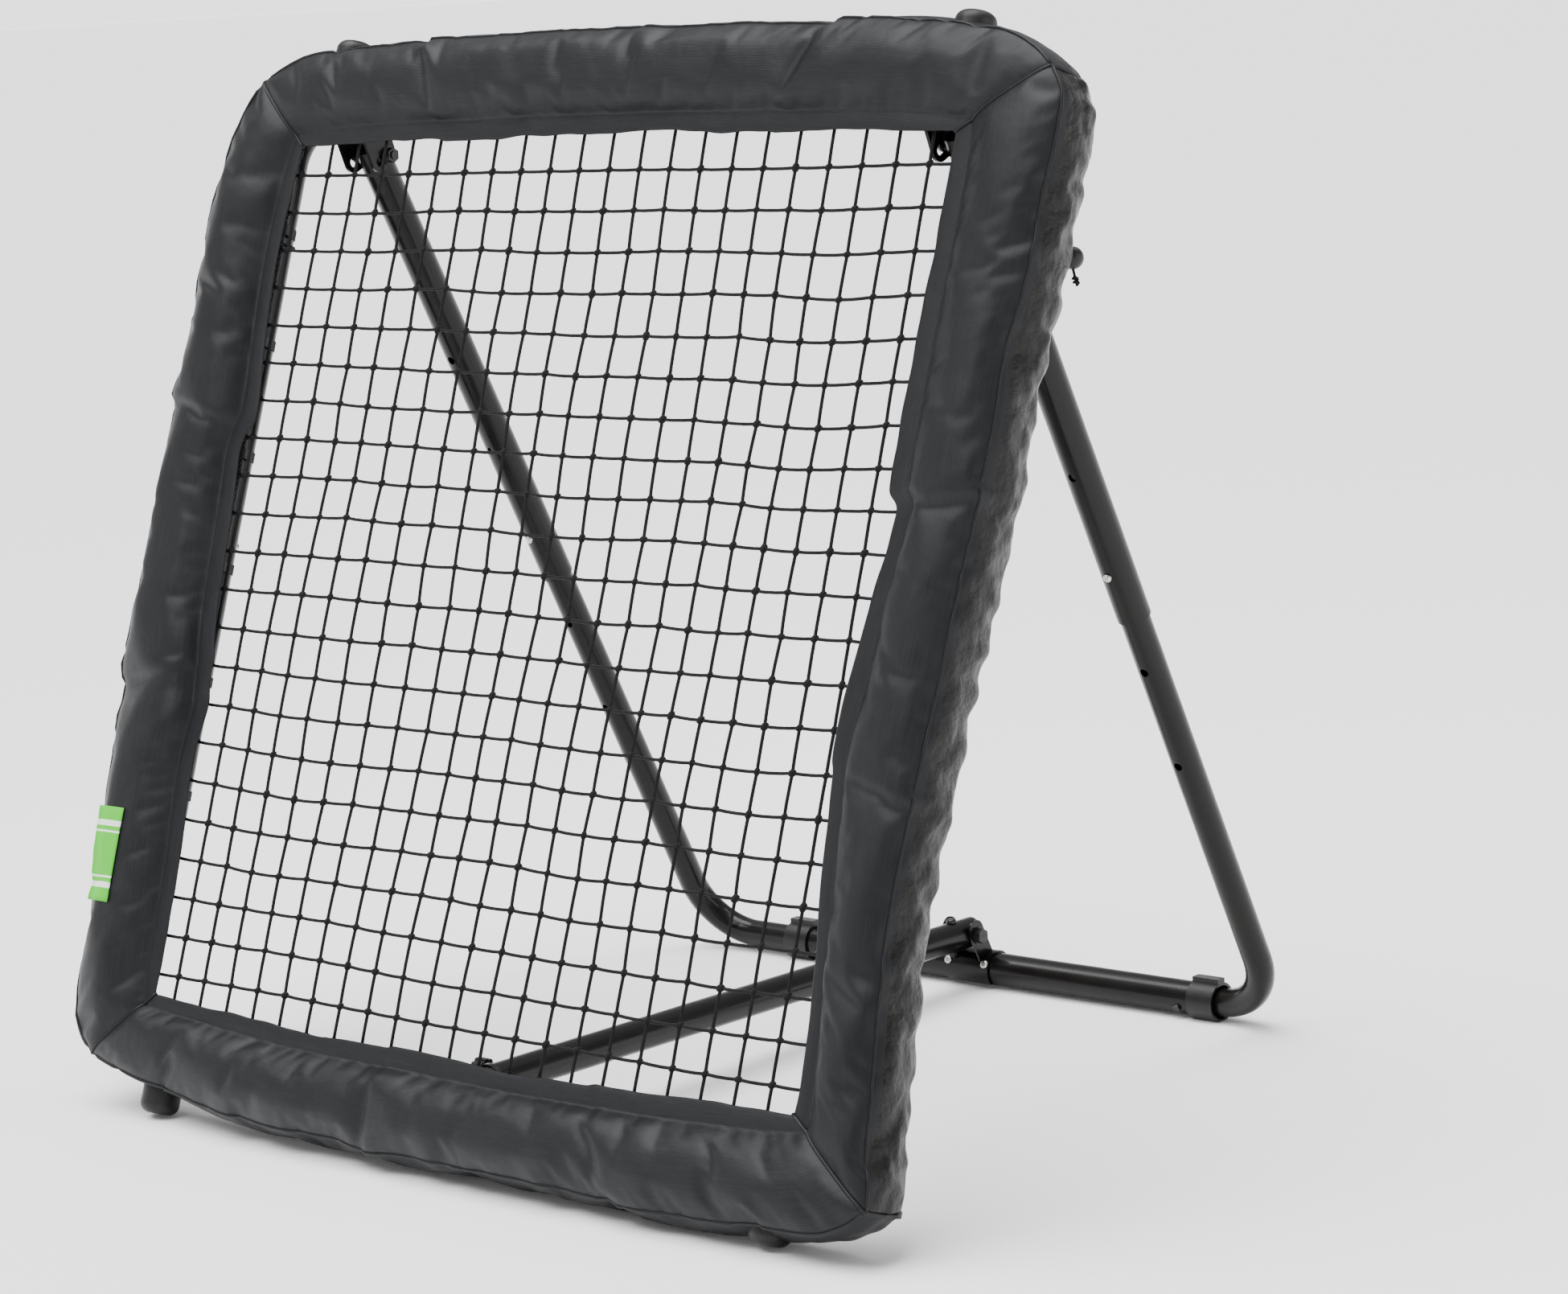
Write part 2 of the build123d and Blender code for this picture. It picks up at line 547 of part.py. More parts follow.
with BuildPart() as clamp_bolts:
    with BuildSketch(*[spot.offset(-CROSS_R - 6) for spot in clamps]):
        Circle(CLAMP_R)
    extrude(amount=CROSS_R + 6 + saddle_r)
    with BuildSketch(*[spot.offset(saddle_r) for spot in clamps]):
        Circle(1.8 * CLAMP_R)
    extrude(amount=4)
    fillet(clamp_bolts.faces().sort_by(Axis((0, 0, 0), clamp_dir))[-2:].edges(), radius=2.5)
save(clamp_bolts.part, "bracket_bolts")
washers_or_nuts("bracket_nuts", [spot.offset(-CROSS_R - 5) for spot in clamps], 5, CLAMP_R, 5)

tab_outer = TAB_IN + TAB_THICK
pivot = Plane(origin=pin_at, z_dir=(1, 0, 0))
cross_bolt("pivot_bolt", pin_at, 1, tab_outer + WASHER, 10, 8.5, 6.5)
washers_or_nuts(
    "pivot_washers",
    [pivot.offset(tab_outer), pivot.offset(-tab_outer - WASHER)],
    11,
    BOLT_R,
    WASHER,
    hexagonal=False,
)
washers_or_nuts("pivot_nut", [pivot.offset(-tab_outer - WASHER - 8)], 8.5, BOLT_R, 8)

# ---- telescoping sleeves on the legs, their hinge bolts and snap buttons ----
SPRING_W, SPRING_T, SPRING_FRONT, SPRING_BACK, SPRING_RUN, BUTTON_OUT, BUTTON_BACK = 9, 1, 12.8, 13.5, 70, 24, 17.9


def sleeve_set(side_name, side):
    x = side * LEG_X
    seat_at = legs.from_local_coords((x, HINGE_UP, 0))
    with BuildPart() as sleeve:
        with BuildSketch(along(x, SLEEVE_FOOT, legs)):
            Circle(SLEEVE_R)
            Circle(SLEEVE_R - SLEEVE_WALL, mode=Mode.SUBTRACT)
        extrude(amount=HINGE_UP + SLEEVE_END - SLEEVE_FOOT)
        holes = [HOLE_UP + i * HOLE_PITCH for i in range(HOLE_COUNT)]
        with BuildSketch(*[facing(x, up, legs) for up in holes]):
            Circle(HOLE_R)
        extrude(amount=SLEEVE_R + 1, mode=Mode.SUBTRACT)
        with BuildSketch(Plane(origin=seat_at, z_dir=(1, 0, 0))):
            Circle(BOLT_R)
        extrude(amount=SLEEVE_R + 1, both=True, mode=Mode.SUBTRACT)
    save(sleeve.part, f"leg_sleeve_{side_name}")

    ear_outer = EAR_IN + EAR_THICK + RUN_GAP
    grip = ear_outer + WASHER
    cross_bolt(f"hinge_bolt_{side_name}", seat_at, side, grip, 9, 8, 6)
    hinge_axis = Plane(origin=seat_at, z_dir=(side, 0, 0))
    ring_spots = [hinge_axis.offset(ear_outer), hinge_axis.offset(-grip)]
    washers_or_nuts(f"hinge_washers_{side_name}", ring_spots, 11, BOLT_R, WASHER, hexagonal=False)
    washers_or_nuts(f"hinge_nut_{side_name}", [hinge_axis.offset(-grip - 7)], 8, BOLT_R, 7)

    with BuildPart() as button:
        with BuildSketch(facing(x, HOLE_UP, legs).offset(BUTTON_BACK)):
            Circle(BUTTON_R)
        extrude(amount=BUTTON_OUT - BUTTON_BACK)
        fillet(button.faces().sort_by(Axis(legs.origin, legs.z_dir))[-1].edges(), radius=3)
    save(button.part, f"leg_button_{side_name}")

    # A leaf spring bent double inside the leg, just clear of the pressed button.
    with BuildPart() as spring:
        with BuildSketch(across(x - SPRING_W / 2, legs)):
            with BuildLine():
                bend = HOLE_UP - SPRING_RUN
                Polyline(
                    (HOLE_UP + 8, SPRING_FRONT),
                    (bend, 2),
                    (bend, -2),
                    (HOLE_UP + 8, -SPRING_BACK),
                    (HOLE_UP + 8, -SPRING_BACK + SPRING_T),
                    (bend + SPRING_T, -1.2),
                    (bend + SPRING_T, 1.2),
                    (HOLE_UP + 8, SPRING_FRONT - SPRING_T),
                    close=True,
                )
            make_face()
        extrude(amount=SPRING_W)
    save(spring.part, f"button_spring_{side_name}")


sleeve_set("left", -1)
sleeve_set("right", 1)
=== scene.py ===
# %% [markdown]
# # A pitch back rebounder
# A ball thrown at the net comes back to the player. The net hangs in a padded steel frame that leans back on
# a telescoping strut and two bent rear legs. The hard parts arrive from CAD at their true sizes, so this
# lesson adds what only Blender does well: padded covers, knotted cord, sewn details and real finishes.

import bmesh
import bpy
import json
import random
from math import cos, exp, pi, radians, sin, sqrt
from mathutils import Matrix, Vector, noise
from mathutils.bvhtree import BVHTree


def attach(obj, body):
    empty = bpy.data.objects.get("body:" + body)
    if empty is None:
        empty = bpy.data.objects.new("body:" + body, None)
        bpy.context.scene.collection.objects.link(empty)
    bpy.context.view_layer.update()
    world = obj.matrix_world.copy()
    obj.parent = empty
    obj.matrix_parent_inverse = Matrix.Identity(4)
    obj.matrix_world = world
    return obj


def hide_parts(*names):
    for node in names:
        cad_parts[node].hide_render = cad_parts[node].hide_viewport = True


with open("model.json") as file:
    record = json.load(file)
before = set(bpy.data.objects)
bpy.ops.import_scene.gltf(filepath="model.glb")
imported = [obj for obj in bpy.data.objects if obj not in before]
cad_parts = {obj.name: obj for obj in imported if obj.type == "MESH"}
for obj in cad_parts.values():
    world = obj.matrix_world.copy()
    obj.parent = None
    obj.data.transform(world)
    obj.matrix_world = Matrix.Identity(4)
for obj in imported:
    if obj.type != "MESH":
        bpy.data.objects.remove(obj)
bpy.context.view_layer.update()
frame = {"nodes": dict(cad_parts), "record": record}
random.seed(7)
# Blender seeds its vector noise from the clock, so a fixed seed is set here. This number is the seed that
# the checked export ran with.
noise.seed_set(1795018946)

MM = 0.001
TILT = radians(20)
FOOT_LINE = -0.47481  # y where the panel's middle plane meets the floor
PANEL_MID = 0.660  # height of the panel's middle, along the panel
# Columns: across the panel, up along it, and out towards the player.
PANEL = Matrix((
    (1, 0, 0, 0),
    (0, sin(TILT), -cos(TILT), FOOT_LINE + PANEL_MID * sin(TILT)),
    (0, cos(TILT), sin(TILT), PANEL_MID * cos(TILT)),
    (0, 0, 0, 1),
))

# %% [markdown]
# ## Helpers for meshes
# Fabric and cord are grown in mesh code: a ring of points is repeated along a path and skinned with quads.
# Each piece is drawn flat, in the panel's own axes, and its mesh is then turned into place, so the object
# itself stays at the origin. A UV map in metres goes with it, for weave and stitches to follow the cloth.


# %% Skin rings of points, and settle a finished piece
def new_object(name, bm, place=None):
    mesh = bpy.data.meshes.new(name)
    bm.to_mesh(mesh)
    bm.free()
    if place:
        mesh.transform(place)
    made = bpy.data.objects.new(name, mesh)
    bpy.context.scene.collection.objects.link(made)
    for face in mesh.polygons:
        face.use_smooth = True
    return made


def skin(bm, rings, closed_path=False, caps=True, along=None, around=None):
    """Quads between rings of points. along and around are the UV distances, in metres."""
    uv_map = bm.loops.layers.uv.verify()
    verts = [[bm.verts.new(p) for p in ring] for ring in rings]
    n = len(rings[0])
    spans = len(rings) if closed_path else len(rings) - 1
    for i in range(spans):
        a, b = verts[i], verts[(i + 1) % len(rings)]
        for k in range(n):
            face = bm.faces.new((a[k], a[(k + 1) % n], b[(k + 1) % n], b[k]))
            if along:
                spots = ((i, k), (i, k + 1), (i + 1, k + 1), (i + 1, k))
                for loop, (row, col) in zip(face.loops, spots):
                    loop[uv_map].uv = (along[row], around[col])
    if caps and not closed_path:
        bm.faces.new(list(reversed(verts[0])))
        bm.faces.new(verts[-1])
    return verts


def tube(bm, path, radius, sides=6, closed=False, squash=1.0, turn=0.0):
    """A round cord along a path; squash flattens it and turn twists it along its length."""
    count = len(path)
    travelled = [0.0]
    for a, b in zip(path, path[1:] + path[:1]):
        travelled.append(travelled[-1] + (b - a).length)
    side = (path[1] - path[0]).orthogonal().normalized()
    rings = []
    for i, p in enumerate(path):
        ahead = path[(i + 1) % count] if closed or i < count - 1 else p
        behind = path[i - 1] if closed or i else p
        way = (ahead - behind).normalized()
        side = (side - way * side.dot(way)).normalized()
        other = way.cross(side)
        ring = []
        for k in range(sides):
            a = 2 * pi * k / sides + turn * travelled[i]
            ring.append(p + side * (radius * cos(a)) + other * (radius * squash * sin(a)))
        rings.append(ring)
    around = [2 * pi * radius * k / sides for k in range(sides + 1)]
    skin(bm, rings, closed, True, travelled, around)


def settle(obj, body, material, *stands_for):
    obj.data.materials.clear()
    obj.data.materials.append(material)
    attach(obj, body)
    if stands_for:
        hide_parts(*stands_for)
    print(f"{obj.name}: {len(obj.data.polygons)} faces on {body}")
    return obj


# %% [markdown]
# ## Shader groups
# Three effects are shared by many finishes, so each is a node group with named sockets. Mottle breaks up a
# roughness or colour slowly, grain gives moulded plastic and paint their fine bumps, and weave draws the
# threads of a coated cloth from the piece's own UV map.


# %% Build the shared groups
def node_group(name, inputs, outputs):
    group = bpy.data.node_groups.new(name, "ShaderNodeTree")
    for label, value in inputs:
        socket = group.interface.new_socket(label, in_out="INPUT", socket_type="NodeSocketFloat")
        socket.default_value = value
    for label in outputs:
        group.interface.new_socket(label, in_out="OUTPUT", socket_type="NodeSocketFloat")
    return group, group.nodes.new("NodeGroupInput"), group.nodes.new("NodeGroupOutput")


def math(tree, operation, a, b=None, clamp=False):
    node = tree.nodes.new("ShaderNodeMath")
    node.operation = operation
    node.use_clamp = clamp
    for socket, value in zip(node.inputs, (a, b)):
        if value is None:
            continue
        if isinstance(value, (int, float)):
            socket.default_value = value
        else:
            tree.links.new(value, socket)
    return node.outputs[0]


def noise_at(tree, coordinates, scale, detail=3.0, rough=0.5):
    node = tree.nodes.new("ShaderNodeTexNoise")
    node.inputs["Detail"].default_value = detail
    node.inputs["Roughness"].default_value = rough
    tree.links.new(coordinates, node.inputs["Vector"])
    if isinstance(scale, (int, float)):
        node.inputs["Scale"].default_value = scale
    else:
        tree.links.new(scale, node.inputs["Scale"])
    return node.outputs["Fac"]


def between(tree, value, low, high):
    """value from 0 to 1 becomes low to high."""
    node = tree.nodes.new("ShaderNodeMapRange")
    tree.links.new(value, node.inputs["Value"])
    node.inputs["From Min"].default_value = 0.3
    node.inputs["From Max"].default_value = 0.7
    for label, limit in (("To Min", low), ("To Max", high)):
        if isinstance(limit, (int, float)):
            node.inputs[label].default_value = limit
        else:
            tree.links.new(limit, node.inputs[label])
    return node.outputs["Result"]


mottle, given, result = node_group("mottle", (("Scale", 8), ("Low", 0.3), ("High", 0.5)), ("Value",))
coords = mottle.nodes.new("ShaderNodeTexCoord")
cloudy = noise_at(mottle, coords.outputs["Object"], given.outputs["Scale"], 4)
mottle.links.new(between(mottle, cloudy, given.outputs["Low"], given.outputs["High"]), result.inputs["Value"])

grain, given, result = node_group("grain", (("Scale", 900), ("Pits", 0.5)), ("Height",))
coords = grain.nodes.new("ShaderNodeTexCoord")
fine = noise_at(grain, coords.outputs["Object"], given.outputs["Scale"], 2)
broad_scale = math(grain, "MULTIPLY", given.outputs["Scale"], 0.12)
broad_noise = noise_at(grain, coords.outputs["Object"], broad_scale, 2)
broad = math(grain, "MULTIPLY", broad_noise, given.outputs["Pits"])
grain.links.new(math(grain, "ADD", fine, broad), result.inputs["Height"])

weave_inputs = (("Thread", 0.0016), ("Rib", 0.0011))
weave, given, result = node_group("weave", weave_inputs, ("Height", "Fleck"))
coords = weave.nodes.new("ShaderNodeTexCoord")
split = weave.nodes.new("ShaderNodeSeparateXYZ")
weave.links.new(coords.outputs["UV"], split.inputs[0])
waves = []
for axis, pitch in (("X", "Thread"), ("Y", "Rib")):
    turns = math(weave, "DIVIDE", split.outputs[axis], given.outputs[pitch])
    waves.append(math(weave, "SINE", math(weave, "MULTIPLY", turns, 2 * pi)))
crossed = math(weave, "MULTIPLY", waves[0], waves[1])
height = math(weave, "ADD", math(weave, "MULTIPLY", crossed, 0.5), math(weave, "MULTIPLY", waves[1], 0.5))
weave.links.new(height, result.inputs["Height"])
streaks = weave.nodes.new("ShaderNodeMapping")
streaks.inputs["Scale"].default_value = (14, 900, 1)
weave.links.new(coords.outputs["UV"], streaks.inputs["Vector"])
weave.links.new(noise_at(weave, streaks.outputs[0], 1.0, 2), result.inputs["Fleck"])
print("groups:", [g.name for g in bpy.data.node_groups])

# %% [markdown]
# ## Finishes for hard parts
# The tubes are gloss black enamel, which pools a little and shows long streaks of light. Feet and clips are
# moulded, the bolts are blackened, and only the snap buttons and small screws are bright zinc. One function
# lays out a material from a colour pair, a roughness pair, a grain and a few constants.


# %% One builder for every hard finish
def finish_of(name, dark, light, rough, scale, bump, grain_scale, **constants):
    """dark and light are the two colours that mottle; rough is (low, high)."""
    material = bpy.data.materials.new(name)
    material.use_nodes = True
    tree = material.node_tree
    shader = tree.nodes["Principled BSDF"]
    shades = tree.nodes.new("ShaderNodeGroup")
    shades.node_tree = mottle
    for label, value in (("Scale", scale), ("Low", 0), ("High", 1)):
        shades.inputs[label].default_value = value
    mix = tree.nodes.new("ShaderNodeMix")
    mix.data_type = "RGBA"
    mix.inputs["A"].default_value = (*dark, 1)
    mix.inputs["B"].default_value = (*light, 1)
    tree.links.new(shades.outputs["Value"], mix.inputs["Factor"])
    tree.links.new(mix.outputs["Result"], shader.inputs["Base Color"])
    patches = tree.nodes.new("ShaderNodeGroup")
    patches.node_tree = mottle
    for label, value in (("Scale", scale * 2.7), ("Low", rough[0]), ("High", rough[1])):
        patches.inputs[label].default_value = value
    tree.links.new(patches.outputs["Value"], shader.inputs["Roughness"])
    bumps = tree.nodes.new("ShaderNodeGroup")
    bumps.node_tree = grain
    bumps.inputs["Scale"].default_value = grain_scale
    relief = tree.nodes.new("ShaderNodeBump")
    relief.inputs["Strength"].default_value = bump
    relief.inputs["Distance"].default_value = 0.0005
    tree.links.new(bumps.outputs["Height"], relief.inputs["Height"])
    tree.links.new(relief.outputs["Normal"], shader.inputs["Normal"])
    for label, value in constants.items():
        shader.inputs[label.replace("_", " ")].default_value = value
    return material


enamel = finish_of(
    "black_enamel", (0.0022, 0.0018, 0.0017), (0.004, 0.0033, 0.003), (0.24, 0.36), 9, 0.08, 260,
    Coat_Weight=0.16, Coat_Roughness=0.09, Specular_IOR_Level=0.15,
)
rubber = finish_of(
    "foot_rubber", (0.003, 0.003, 0.0034), (0.007, 0.007, 0.0075), (0.38, 0.55), 30, 0.25, 1400,
    Specular_IOR_Level=0.3,
)
plastic = finish_of(
    "moulded_plastic", (0.003, 0.003, 0.0034), (0.006, 0.006, 0.0065), (0.3, 0.42), 25, 0.3, 1700,
    Specular_IOR_Level=0.3,
)
black_steel = finish_of(
    "blackened_steel", (0.012, 0.012, 0.013), (0.03, 0.029, 0.028), (0.22, 0.4), 60, 0.2, 900, Metallic=0.6
)
zinc = finish_of(
    "bright_zinc", (0.55, 0.55, 0.53), (0.74, 0.74, 0.72), (0.2, 0.36), 80, 0.15, 1200, Metallic=1.0,
)
braid = finish_of(
    "braided_cord", (0.003, 0.003, 0.0036), (0.007, 0.007, 0.008), (0.6, 0.8), 200, 0.8, 2600,
    Specular_IOR_Level=0.15,
)

FINISH = {
    "black_enamel": enamel, "black_rubber": rubber, "black_plastic": plastic, "zinc_steel": zinc,
    "black_steel": black_steel, "net_cord": braid, "elastic_cord": braid,
}
painted = 0
for part in frame["record"]["subparts"]:
    if part["material_slot"] in FINISH and part["node"] in frame["nodes"]:
        node = frame["nodes"][part["node"]]
        for place in range(max(1, len(node.data.materials))):
            if node.data.materials:
                node.data.materials[place] = FINISH[part["material_slot"]]
            else:
                node.data.materials.append(FINISH[part["material_slot"]])
        painted += 1
print(f"{painted} CAD nodes painted")

# %% [markdown]
# ## Coated cloth
# The covers are a charcoal PVC-coated cloth with a satin sheen. Its fine ribs run along each pad and catch the
# light as thin streaks. A line of stitches holds the flat hem, and another runs near the gathered rear edge.
# The threads follow the UV map, whose second axis is the distance round the pad from the opening.

# %% Coated cloth, plain or with stitch lines
HEM = 0.020
FRONT_RUN = 0.236  # distance round the pad from the opening to the rear edge


def coated_cloth(name, dark, light, rough, sheen, stitches=(), wrinkles=(16, 0.35)):
    """wrinkles is their scale and strength."""
    material = bpy.data.materials.new(name)
    material.use_nodes = True
    tree = material.node_tree
    shader = tree.nodes["Principled BSDF"]
    cloth = tree.nodes.new("ShaderNodeGroup")
    cloth.node_tree = weave
    patches = tree.nodes.new("ShaderNodeGroup")
    patches.node_tree = mottle
    for label, value in (("Scale", 6), ("Low", rough[0]), ("High", rough[1])):
        patches.inputs[label].default_value = value
    coords = tree.nodes.new("ShaderNodeTexCoord")
    split = tree.nodes.new("ShaderNodeSeparateXYZ")
    tree.links.new(coords.outputs["UV"], split.inputs[0])
    lines = None
    for at in stitches:
        off = math(tree, "ABSOLUTE", math(tree, "SUBTRACT", split.outputs["Y"], at))
        near = math(tree, "SUBTRACT", 1.0, math(tree, "DIVIDE", off, 0.0011), clamp=True)
        lines = near if lines is None else math(tree, "MAXIMUM", lines, near)
    tone = tree.nodes.new("ShaderNodeMix")
    tone.data_type = "RGBA"
    tone.inputs["A"].default_value = (*dark, 1)
    tone.inputs["B"].default_value = (*light, 1)
    tree.links.new(between(tree, cloth.outputs["Fleck"], 0, 1), tone.inputs["Factor"])
    colour = tone.outputs["Result"]
    height = cloth.outputs["Height"]
    if lines is not None:
        dash = math(tree, "SINE", math(tree, "MULTIPLY", split.outputs["X"], 2 * pi / 0.0055))
        thread = math(tree, "MULTIPLY", lines, math(tree, "GREATER_THAN", dash, -0.35))
        sewn = tree.nodes.new("ShaderNodeMix")
        sewn.data_type = "RGBA"
        sewn.inputs["B"].default_value = (0.006, 0.006, 0.006, 1)
        tree.links.new(colour, sewn.inputs["A"])
        tree.links.new(lines, sewn.inputs["Factor"])
        colour = sewn.outputs["Result"]
        dip = math(tree, "MULTIPLY", lines, -3.0)
        height = math(tree, "ADD", height, math(tree, "ADD", dip, math(tree, "MULTIPLY", thread, 2.4)))
    tree.links.new(colour, shader.inputs["Base Color"])
    tree.links.new(patches.outputs["Value"], shader.inputs["Roughness"])
    relief = tree.nodes.new("ShaderNodeBump")
    relief.inputs["Strength"].default_value = 0.35
    relief.inputs["Distance"].default_value = 0.00025
    tree.links.new(height, relief.inputs["Height"])
    creases = tree.nodes.new("ShaderNodeBump")
    creases.inputs["Strength"].default_value = wrinkles[1]
    creases.inputs["Distance"].default_value = 0.006
    tree.links.new(noise_at(tree, coords.outputs["Object"], wrinkles[0], 3), creases.inputs["Height"])
    tree.links.new(relief.outputs["Normal"], creases.inputs["Normal"])
    tree.links.new(creases.outputs["Normal"], shader.inputs["Normal"])
    shader.inputs["Sheen Weight"].default_value = sheen
    shader.inputs["Sheen Roughness"].default_value = 0.4
    shader.inputs["Specular IOR Level"].default_value = 0.2
    return material


cover = coated_cloth(
    "charcoal_pvc_cover", (0.0035, 0.0039, 0.0050), (0.0075, 0.0080, 0.0098), (0.34, 0.46), 0.0,
    (HEM, FRONT_RUN - 0.012),
)
# The left and right covers' skirts take a darker, browner copy of the cloth. The brown tone is the skirt's own,
# and its lower roughness and finer creases are its gloss and wrinkles; part of its darkness is painted shade on
# the side faces.
shaded_skirt_cloth = coated_cloth(
    "wrinkled_skirt_painted_shade", (0.0022, 0.0018, 0.0017), (0.0045, 0.0038, 0.0035), (0.2, 0.32), 0.0,
    (FRONT_RUN - 0.012,), (42, 0.9),
)
piping_cloth = coated_cloth("seam_piping", (0.004, 0.0042, 0.005), (0.008, 0.0085, 0.01), (0.36, 0.46), 0.0)

# %% [markdown]
# ## The padded covers
# Each cover is a foam slab in a sewn sleeve: a flat hem beside the net, a crowned front, and a skirt that
# wraps the frame's tube and is gathered behind it. The cross-section below is carried from mitre to mitre,
# inside edge and outside edge at once, so the four meet like a picture frame. It starts a little slim,
# because the cloth simulation that follows swells it.

# %% The cross-section, and the run of one cover
# Distance out from the opening and height towards the player, in mm. The first points are the front.
FRONT = [
    (0, 28.3), (5, 29.4), (12, 29.6), (18, 29.2), (20.5, 28.6), (23, 31), (28, 36), (34, 40), (42, 42.8),
    (52, 44), (64, 44.6), (76, 44.6), (88, 44), (97, 42.6), (103, 40.2), (107, 37), (109.2, 33.4), (108.6, 30),
    (109.4, 25), (110, 17), (110.4, 8), (110.4, -1), (110, -10), (109.6, -18), (108.6, -25), (106.8, -31),
    (103.6, -35.6), (100.5, -37),
]
SEAM_EDGE = (109.2, 33.4)  # where the front and the skirt are sewn together
BACK = [
    (98.5, -35), (100, -29), (101.5, -18), (102, -4), (101.5, 10), (98, 21), (90, 26.6), (74, 27), (56, 27),
    (38, 27), (24, 27), (12, 26.8), (3, 26.9),
]
# Each cover's inside and outside edge, in mm in the panel's plane, from its first mitre to its second.
EDGES = {
    "top": (
        ((-508, 516), (-250, 521), (0, 522), (250, 521), (499, 516)),
        ((-598, 600), (-520, 632), (-400, 645), (-250, 651), (-110, 655), (90, 654), (257, 650), (427, 644),
         (540, 625), (590, 604), (616, 584)),
    ),
    "bottom": (
        ((-489, -516), (-250, -525), (0, -529), (250, -527), (506, -518)),
        ((-580, -600), (-530, -612), (-462, -624), (-312, -645), (-40, -649), (207, -650), (391, -649),
         (541, -638), (592, -624), (624, -602)),
    ),
    "left": (
        ((-489, -516), (-488, -367), (-497, -242), (-489, -163), (-506, -57), (-513, 51), (-519, 140),
         (-506, 204), (-515, 368), (-512, 468), (-508, 516)),
        ((-580, -600), (-608, -575), (-626, -530), (-640, -380), (-655, -174), (-660, 56), (-650, 218),
         (-652, 401), (-640, 500), (-622, 560), (-598, 600)),
    ),
    "right": (
        ((506, -518), (508, -472), (498, -366), (486, -250), (479, -142), (487, -48), (494, 37), (507, 119),
         (497, 127), (495, 182), (495, 311), (498, 397), (499, 483), (499, 516)),
        ((624, -602), (622, -570), (614, -530), (605, -435), (596, -313), (602, -148), (614, 19), (623, 178),
         (625, 279), (633, 354), (636, 439), (639, 520), (634, 558), (616, 584)),
    ),
}
STEP = 8  # mm between rings along a cover


def resample(points, spacing):
    """Points at most about `spacing` apart along a polyline, with its own points kept."""
    out = [points[0]]
    for a, b in zip(points, points[1:]):
        parts = max(1, round(sqrt((b[0] - a[0]) ** 2 + (b[1] - a[1]) ** 2) / spacing))
        for k in range(1, parts + 1):
            out.append((a[0] + (b[0] - a[0]) * k / parts, a[1] + (b[1] - a[1]) * k / parts))
    return out


def smooth_line(points, spacing):
    """A smooth curve through points, as short straight runs."""
    points = [Vector(p) for p in points]
    line = []
    for i in range(len(points) - 1):
        a, b = points[i], points[i + 1]
        before, after = points[max(0, i - 1)], points[min(i + 2, len(points) - 1)]
        runs = max(2, round((b - a).length / spacing))
        for k in range(runs):
            t = k / runs
            line.append(0.5 * (
                2 * a + (b - before) * t + (2 * before - 5 * a + 4 * b - after) * t ** 2
                + (3 * a - before - 3 * b + after) * t ** 3
            ))
    return line + [points[-1]]


def spread(line, count):
    """count + 1 points evenly along a polyline."""
    lengths = [0.0]
    for a, b in zip(line, line[1:]):
        lengths.append(lengths[-1] + (b - a).length)
    out, k = [], 0
    for i in range(count + 1):
        at = lengths[-1] * i / count
        while k < len(line) - 2 and lengths[k + 1] < at:
            k += 1
        share = (at - lengths[k]) / max(1e-9, lengths[k + 1] - lengths[k])
        out.append(line[k].lerp(line[k + 1], min(1, share)))
    return out


def mitre_edges(side):
    """Inside and outside edges of one cover, as equal lists of points in the panel's plane."""
    inner, outer = (smooth_line(edge, 10) for edge in EDGES[side])
    rings = round(sum((b - a).length for a, b in zip(outer, outer[1:])) / STEP)
    return spread(inner, rings), spread(outer, rings)


def rise(x):
    """0 below 0, 1 above 1, and smooth between."""
    x = min(1.0, max(0.0, x))
    return x * x * (3 - 2 * x)


# Where the foam inside is joined, the cover steps: distance along, how far the far side stands proud and how
# far the outside edge bulges, in mm.
STEPS = {
    "left": ((196, 4.5, 5), (-150, 2.4, 3), (-188, -1.8, 0)),
    "right": ((129, 4.5, 3), (-190, 2.4, 3)),
    "top": ((-330, 2.2, 2), (300, 2.2, 2)),
    "bottom": ((-120, 2.5, 3), (260, 2.5, 3)),
}


def shape_of(side, at, span, s, n, seed):
    """The profile point (s, n) at distance `at` from the cover's middle, with its folds and gathers."""
    edge = span / 2 - abs(at)
    seam = exp(-edge / 16)
    front = rise((n - 27) / 6) * rise(s / 30)
    n -= front * (n - 29) * 0.42 * seam
    slow = noise.noise(Vector((at / 170, seed, 0)))
    quick = noise.noise(Vector((at / 47, seed + 5, s / 60)))
    n += front * (2.0 * slow + 0.9 * quick)
    calm = rise(edge / 60)
    # Short puckers run in from both sewn edges, and a few long folds cross the pad.
    pull = noise.noise(Vector((at / 10.5 + 0.4 * slow, seed + 17, s / 45)))
    n += front * calm * 1.1 * pull * (exp(-s / 26) + exp(-max(0, 104 - s) / 24))
    n += front * calm * 5.0 * max(0, noise.noise(Vector((at / 62 + s / 120, seed + 23, s / 110))) - 0.2)
    s += calm * rise(1 - s / 30) * (4.2 * slow + 1.6 * quick)
    for where, lift, out in STEPS[side]:
        beyond = rise((at - where) / 9) * exp(-max(0, at - where) / 130)
        n += front * lift * beyond
        s += calm * beyond * out * rise((s - 20) / 80) - calm * beyond * rise(1 - s / 30) * lift * 1.2
    skirt = rise((s - 95) / 10) * rise((20 - n) / 40)
    gather = noise.noise(Vector((at / 13, seed + 9, n / 40)))
    loose = 1.0 if side == "right" else 0.45
    crumple = noise.noise(Vector((at / 19, seed + 31, n / 11)))
    s += skirt * loose * (4.0 * gather + 2.4 * slow + 3.2 * crumple)
    hem = rise((-22 - n) / 12)
    n += hem * calm * loose * (3.4 * sin(at / 9.5 + 3 * slow) + 2.2 * gather)
    return s, n


